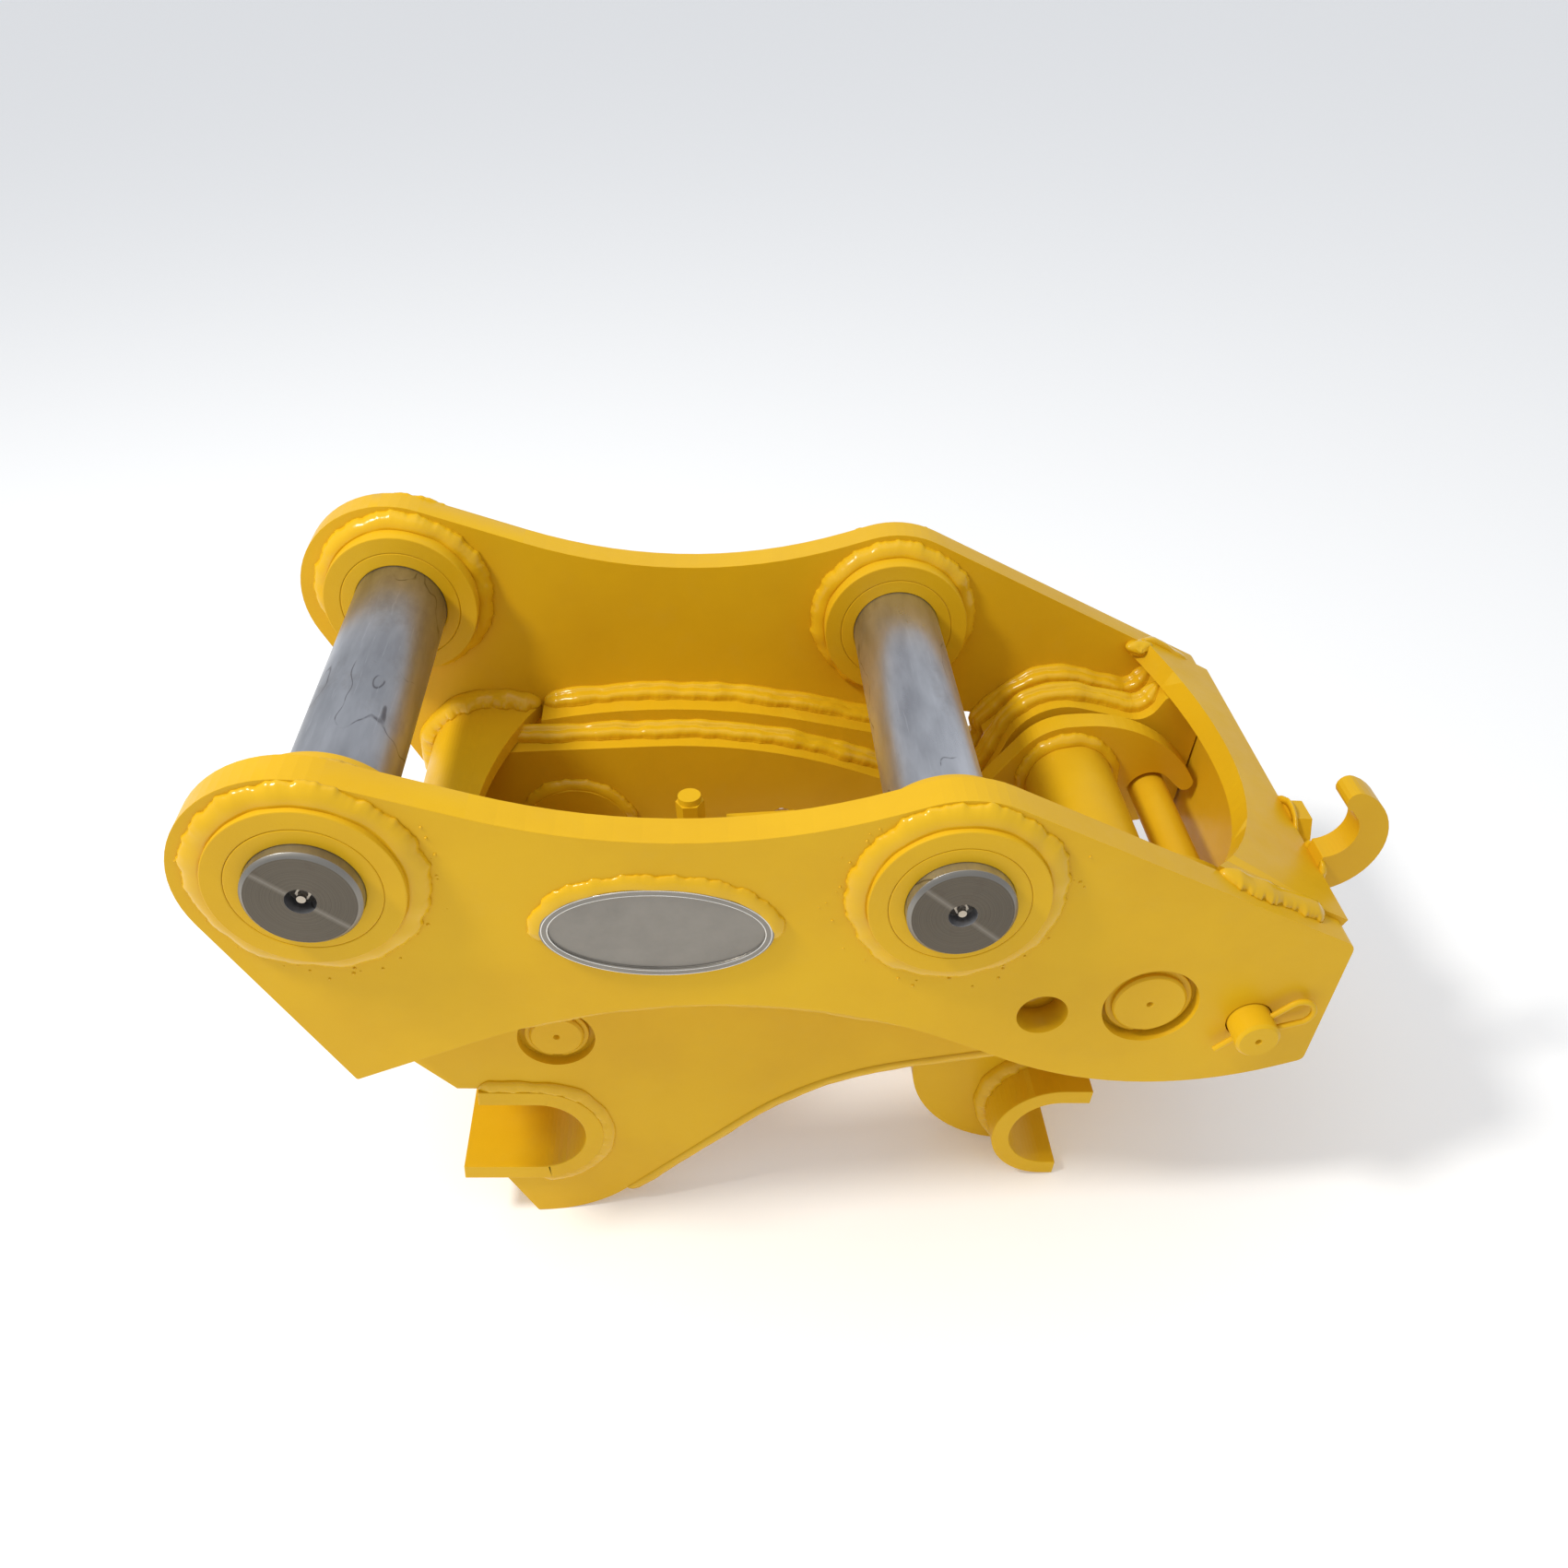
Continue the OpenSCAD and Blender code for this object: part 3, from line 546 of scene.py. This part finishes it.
def metal(name, base, rough_lo, rough_hi, metallic=1.0, scale=60.0):
    mat, tree, bsdf = new_material(name)
    p = object_vector(tree)
    patch = noise(tree, p, scale, 5.0, 0.6)
    color = ramp(tree, patch, [(0.3, tuple(c * 0.78 for c in base)), (0.7, base)])
    tree.links.new(color, bsdf.inputs["Base Color"])
    tree.links.new(ramp(tree, patch, [(0.3, grey(rough_lo)), (0.75, grey(rough_hi))]),
                   bsdf.inputs["Roughness"])
    bsdf.inputs["Metallic"].default_value = metallic
    fine = noise(tree, p, scale * 12, 2.0, 0.5)
    bump(tree, bsdf, fine, 0.2, 0.0002)
    return mat


def rubber():
    mat, tree, bsdf = new_material("seal_rubber")
    p = object_vector(tree)
    tree.links.new(ramp(tree, noise(tree, p, 90.0), [(0.3, grey(0.018)), (0.8, grey(0.05))]),
                   bsdf.inputs["Base Color"])
    bsdf.inputs["Roughness"].default_value = 0.7
    bump(tree, bsdf, noise(tree, p, 700.0), 0.3, 0.0002)
    return mat


YELLOW = (0.72, 0.42, 0.010)
WELD_YELLOW = (0.73, 0.43, 0.010)
# Rear pin's shaft colour brightened: a painted highlight, since it is the same steel as the front
# pin
REAR_PIN_PAINTED_LIGHT = 1.25
MATERIALS = {
    "yellow_paint": paint("yellow_paint", YELLOW, 0.30, 0.25, 0.17),
    "weld_paint": paint("weld_paint", WELD_YELLOW, 0.13, 0.06, 0.28),
    "front_pin_steel": pin_steel("front_pin_steel", ORIGIN),
    "rear_pin_steel": pin_steel("rear_pin_steel", mounts["rear_arm_pin"], REAR_PIN_PAINTED_LIGHT),
    "nipple_steel": metal("nipple_steel", (0.50, 0.44, 0.36), 0.28, 0.45),
    "plate_grey": metal("plate_grey", (0.27, 0.25, 0.22), 0.32, 0.50, 0.75, 34.0),
    "plate_bright": metal("plate_bright", (0.78, 0.76, 0.72), 0.18, 0.32, 1.0, 80.0),
    "rod_chrome": metal("rod_chrome", (0.80, 0.81, 0.83), 0.06, 0.14),
    "piston_steel": metal("piston_steel", (0.42, 0.43, 0.44), 0.3, 0.45),
    "seal_rubber": rubber(),
}


SMALL_NODE = 12                    # mm: a node thinner than this gets the smaller bevel
BEVEL, SMALL_BEVEL = 0.9, 0.35     # mm
SHARP = 34                         # degrees between the faces of an edge that is bevelled


def dress_nodes():
    """Material on every CAD node, and its sharp edges broken a little for the light to catch."""
    slots = {s["node"]: s["material_slot"] for s in frame["record"]["subparts"]}
    for name, obj in nodes.items():
        obj.data.materials.clear()
        look = f"{name}_steel" if slots[name] == "pin_steel" else slots[name]
        obj.data.materials.append(MATERIALS[look])
        smallest = min(obj.dimensions) / MM
        weld = obj.modifiers.new("weld", "WELD")
        weld.merge_threshold = 1e-5
        edge = obj.modifiers.new("edge", "BEVEL")
        edge.width = (BEVEL if smallest > SMALL_NODE else SMALL_BEVEL) * MM
        edge.segments = 2
        edge.limit_method = "ANGLE"
        edge.angle_limit = math.radians(SHARP)
        edge.use_clamp_overlap = True
        edge.harden_normals = False


# ---- weld beads of each sub-part ----

SIDES = (("near", -1), ("far", 1))   # each side, and the sign of the y that leads out of it

# Corners (x, z) that a bead runs from and to
ARCH_RUNS = (
    ("spacer", ((716, -40), (122, -116)), ((134, -168), (745, -178))),
    ("jaw", ((716, -40), (112, -140)), ((230, -400), (745, -178))),
)
SHELL_RUN = ((112, -114), (12, -204))
SLOPE_RUN = ((770, -50), (487, 76))
SEAT_RUNS = (
    ("fixed_seat", "jaw_plate", "frame", ((112, -400), (90, -284))),
    ("hook_seat", "hook_plate", "hook", ((627, -279), (575, -387))),
)


def collar_beads():
    seed = 10
    for pin in ("front", "rear"):
        for side in ("near", "far"):
            centre, r, lo, hi = round_node(f"{pin}_outer_collar_{side}")
            y, up = (hi, -1) if side == "near" else (lo, 1)
            ring_bead(f"{pin}_outer_bead_{side}", "frame", centre, r, y, up, (15.0, 8.5), seed,
                      rough=1.1)
            centre, r, lo, hi = round_node(f"{pin}_inner_collar_{side}")
            y, up = (lo, 1) if side == "near" else (hi, -1)
            ring_bead(f"{pin}_inner_bead_{side}", "frame", centre, r, y, up, (12.0, 12.0), seed + 1,
                      rough=1.2)
            seed += 2


def arch_beads():
    """Three-pass fillets on top of the spacer and jaw plates, and single ones below them."""
    seed = 40
    for side, s in SIDES:
        for plate, top, low in ARCH_RUNS:
            lo, hi = y_span(f"{plate}_plate_{side}")
            y = hi if s > 0 else lo
            edge = outline(f"{plate}_plate_{side}", y)
            edge_bead(f"{plate}_top_bead_{side}", "frame", stretch(edge, *top), y, -s,
                      (15.0, 12.0), seed, passes=3, rough=1.1)
            edge_bead(f"{plate}_low_bead_{side}", "frame", stretch(edge, *low), y, -s,
                      (9.0, 8.0), seed + 1)
            seed += 2


def shell_beads():
    for i, (y, s) in enumerate(zip(y_span("front_shell"), (-1, 1))):
        run = stretch(outline("front_shell", y), *SHELL_RUN)
        edge_bead(f"shell_bead_{i}", "frame", run, y, -s, (15.0, 13.0), 60 + i, rough=1.7)


def end_plate_beads():
    """Rough fillets where the sloping plate meets the side plates, and a blob at its far tip."""
    rear_x, front_x = 752, {"near": 655, "far": 700}
    for i, (side, s) in enumerate(SIDES):
        lo, hi = y_span(f"side_plate_{side}")
        y = hi if s < 0 else lo
        head, tail = stretch(outline(f"side_plate_{side}", y), *SLOPE_RUN)[-2:]
        first, last = ((x - tail[0]) / (head[0] - tail[0]) for x in (rear_x, front_x[side]))
        line = tail + np.linspace(first, last, 40)[:, None] * (head - tail)
        edge_bead(f"end_plate_bead_{side}", "frame", line, y, s, (15.0, 8.0), 70 + i, rough=2.0)
        if side == "far":
            x, z = line[-1]
            blob("end_plate_tip_bead", (x - 3, z - 4, y - 4), (13, 8, 10), 74)


def ring_beads():
    seed = 80
    for side, s in SIDES:
        centre, r, lo, hi = round_node(f"base_pin_boss_{side}")
        ring_bead(f"base_boss_bead_{side}", "frame", centre, r, hi if s > 0 else lo, -s, (9.0, 7.0),
                  seed, rough=1.3)
        centre, r, lo, hi = round_node("hook_hub")
        ring_bead(f"hub_bead_{side}", "hook", centre, r, hi if s > 0 else lo, -s, (9.0, 9.0),
                  seed + 1, rough=1.2)
        seed += 2


def seat_beads():
    """Fillets round both seats, inside and outside each plate that they pass through."""
    seed = 90
    for seat, plate, body, corners in SEAT_RUNS:
        run = stretch(outline(seat, y_span(seat)[0]), *corners)
        for side, s in SIDES:
            lo, hi = y_span(f"{plate}_{side}")
            outer, inner = (hi, lo) if s > 0 else (lo, hi)
            for where, y, along in (("out", outer, s), ("in", inner, -s)):
                narrow = seat == "fixed_seat" and where == "out"
                edge_bead(f"{seat}_bead_{side}_{where}", body, run, y, along,
                          (4.4 if narrow else 11.0, 10.0), seed, rough=1.3)
                seed += 1


def plate_bead():
    """Bead over the upper half of the name plate, and the worn edges of its raised rim."""
    lo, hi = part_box("name_plate")
    x, z, _ = own((lo + hi) / 2)
    half_x, half_z = (hi.x - lo.x) / 2 / MM, (hi.z - lo.z) / 2 / MM

    def oval(a, inset=0.0):
        return np.stack([x + (half_x - inset) * np.cos(a), z + (half_z - inset) * np.sin(a)], 1)

    bead_from, bead_to = -8, 196   # degrees
    pts = oval(np.radians(np.linspace(bead_from, bead_to, 120)))
    edge = flat3(pts, hi.y / MM)
    bead("name_plate_bead", "frame", edge, outward(pts), same((0, 0, -1), len(pts)), (10.0, 4.6),
         99, rough=1.6)
    turn = round_angles(180)
    rim_insets, wire_r, sunk = (1.2, 5.4), 0.55, 0.35
    for i, inset in enumerate(rim_insets):
        pts = oval(turn, inset)
        wire(f"name_plate_worn_rim_{i}", flat3(pts, lo.y / MM + sunk), outward(pts, True), wire_r)


def cylinder_beads():
    """Seam between the cylinder's base and its barrel, and fillets round the two port bosses."""
    base = np.array(round_node("base_pin")[0])
    rod = np.array(round_node("rod_pin")[0])
    ahead = (rod - base) / np.hypot(*(rod - base))
    lift = np.array((-ahead[1], ahead[0]))
    barrel_r, seam_x, port_xs, boss_r = 55.0, 64.0, (120.0, 240.0), 16.0
    a = round_angles(180)[:, None]
    out = np.hstack([lift * np.cos(a), np.sin(a)])
    axis = np.array((*ahead, 0.0))
    middle = np.array((*base, 0.0))
    for i, way in enumerate((1, -1)):
        bead(f"barrel_seam_{i}", "barrel", middle + axis * seam_x + out * barrel_r,
             same(axis * way, len(a)), out, (4.5, 2.2), 110 + i, closed=True)
    flat = np.hstack([ahead * np.cos(a), np.sin(a)])
    height = np.sqrt(barrel_r ** 2 - (boss_r * np.sin(a)) ** 2)
    for i, x in enumerate(port_xs):
        ring = middle + axis * x + flat * boss_r + np.hstack([lift * height, 0 * height])
        bead(f"port_bead_{i}", "barrel", ring, flat, same((*lift, 0.0), len(a)), (6.0, 5.0),
             114 + i, closed=True)


def rear_beads():
    """Fillets where the lifting hook and the plug stand on the rear of the end plate."""
    lo, hi = y_span("rear_plug")
    back, plug_z, plug_r = 775.0, -61.0, 24.0
    hook_foot, hook_top = -72, -34
    a = round_angles(120)[:, None]
    flat = np.hstack([0 * a, np.cos(a), np.sin(a)])
    bead("plug_bead", "frame", np.array((back, plug_z, (lo + hi) / 2)) + plug_r * flat, flat,
         same((1, 0, 0), len(a)), (6.0, 3.5), 120, closed=True)
    z = np.linspace(hook_foot, hook_top, 40)
    for i, (side_y, way) in enumerate(zip(y_span("lifting_hook"), (-1, 1))):
        line = np.stack([np.full_like(z, back), z, np.full_like(z, side_y)], 1)
        bead(f"lifting_hook_bead_{i}", "frame", line, same((0, 0, way), len(z)),
             same((1, 0, 0), len(z)), (8.0, 7.0), 122 + i, rough=1.3)


def well_inside(point, edge, margin):
    """Whether a point lies inside a closed outline and at least margin from it."""
    a, b = edge, np.roll(edge, -1, axis=0)
    along = b - a
    k = np.clip(np.sum((point - a) * along, 1) / np.maximum(np.sum(along ** 2, 1), 1e-9), 0, 1)
    gap = np.min(np.hypot(*(a + k[:, None] * along - point).T))
    crosses = (a[:, 1] > point[1]) != (b[:, 1] > point[1])
    rise = np.where(along[:, 1] == 0, 1e-9, along[:, 1])
    right = point[0] < a[:, 0] + (point[1] - a[:, 1]) * along[:, 0] / rise
    return bool(np.sum(crosses & right) % 2) and gap > margin


def collar_spatter():
    """Droplets on the side plates round the outer collars, fewer farther out."""
    rng = np.random.default_rng(130)
    tries, gap, spread, margin = 38, 17, 8, 6.0
    for i, (pin, side) in enumerate((p, s) for p in ("front", "rear") for s in ("near", "far")):
        centre, r, lo, hi = round_node(f"{pin}_outer_collar_{side}")
        y, out = (hi, -1) if side == "near" else (lo, 1)
        edge = outline(f"side_plate_{side}", y)
        spots = []
        for _ in range(tries):
            a = rng.uniform(0, 2 * math.pi)
            d = r + gap + abs(rng.normal(0, spread))
            spot = np.array(centre) + d * np.array((math.cos(a), math.sin(a)))
            if well_inside(spot, edge, margin):
                spots.append((*spot, y, out))
        spatter(f"{pin}_spatter_{side}", "frame", spots, 131 + i)


def all_beads():
    collar_beads()
    arch_beads()
    shell_beads()
    end_plate_beads()
    ring_beads()
    seat_beads()
    plate_bead()
    cylinder_beads()
    rear_beads()
    collar_spatter()


# ---- stage ----

FLOOR_REACH = 12.0
FLOOR_SHADE, FLOOR_GLOW = (0.92, 0.92, 0.92, 1), 0.14
SKY, SKY_STRENGTH = (0.92, 0.95, 1.0, 1), 0.67
LIT_POINT = (0, 0, 0.25)
# Camera: lens, shift, place as x, z, y in the coupler's own frame in mm, and its directions there
LENS, SHIFT_X, SHIFT_Y = 30.744, -0.0310, 0.0381
CAMERA_PLACE = (236.33, 618.59, -932.12)
CAMERA_RIGHT, CAMERA_AHEAD = (0.9915, -0.0817, 0.1017), (0.1274, 0.7735, -0.6209)


def floor():
    mesh = bpy.data.meshes.new("floor")
    corners = ((-1, -1), (1, -1), (1, 1), (-1, 1))
    mesh.from_pydata([(x * FLOOR_REACH, y * FLOOR_REACH, 0) for x, y in corners], [],
                     [(0, 1, 2, 3)])
    obj = bpy.data.objects.new("floor", mesh)
    bpy.context.scene.collection.objects.link(obj)
    mat, _, bsdf = new_material("floor")
    bsdf.inputs["Base Color"].default_value = FLOOR_SHADE
    bsdf.inputs["Roughness"].default_value = 0.9
    bsdf.inputs["Emission Color"].default_value = (1.0, 1.0, 1.0, 1)
    bsdf.inputs["Emission Strength"].default_value = FLOOR_GLOW
    mesh.materials.append(mat)


def area_light(name, place, size, power, color):
    """Round light aimed at LIT_POINT; size in metres, power in watts."""
    data = bpy.data.lights.new(name, "AREA")
    data.shape = "DISK"
    data.size = size
    data.energy = power
    data.color = color
    obj = bpy.data.objects.new(name, data)
    obj.location = place
    obj.rotation_mode = "QUATERNION"
    obj.rotation_quaternion = (Vector(place) - Vector(LIT_POINT)).to_track_quat("Z", "Y")
    bpy.context.scene.collection.objects.link(obj)


def lights():
    world = bpy.data.worlds.new("studio")
    world.use_nodes = True
    background = world.node_tree.nodes["Background"]
    background.inputs["Color"].default_value = SKY
    background.inputs["Strength"].default_value = SKY_STRENGTH
    bpy.context.scene.world = world
    bpy.context.scene.view_settings.view_transform = "Standard"
    area_light("key", (-1.65, -0.65, 2.7), 0.5, 56, (1.0, 0.98, 0.92))
    area_light("top", (0.1, -0.05, 2.4), 1.6, 5, (1.0, 0.99, 0.96))


def camera():
    """Camera at the picture's viewing angle, placed in the coupler's own frame."""
    data = bpy.data.cameras.new("camera")
    data.sensor_width = 36.0
    data.lens = LENS
    data.shift_x = SHIFT_X
    data.shift_y = SHIFT_Y
    obj = bpy.data.objects.new("camera", data)
    turn = Matrix((EX, EY, EZ)).transposed()
    back = -(turn @ Vector(CAMERA_AHEAD)).normalized()
    side = (turn @ Vector(CAMERA_RIGHT)).normalized()
    up = back.cross(side).normalized()
    side = up.cross(back)
    facing = Matrix((side, up, back)).transposed().to_4x4()
    obj.matrix_world = Matrix.Translation(at(*CAMERA_PLACE)) @ facing
    bpy.context.scene.collection.objects.link(obj)
    bpy.context.scene.camera = obj


dress_nodes()
all_beads()
floor()
lights()
camera()
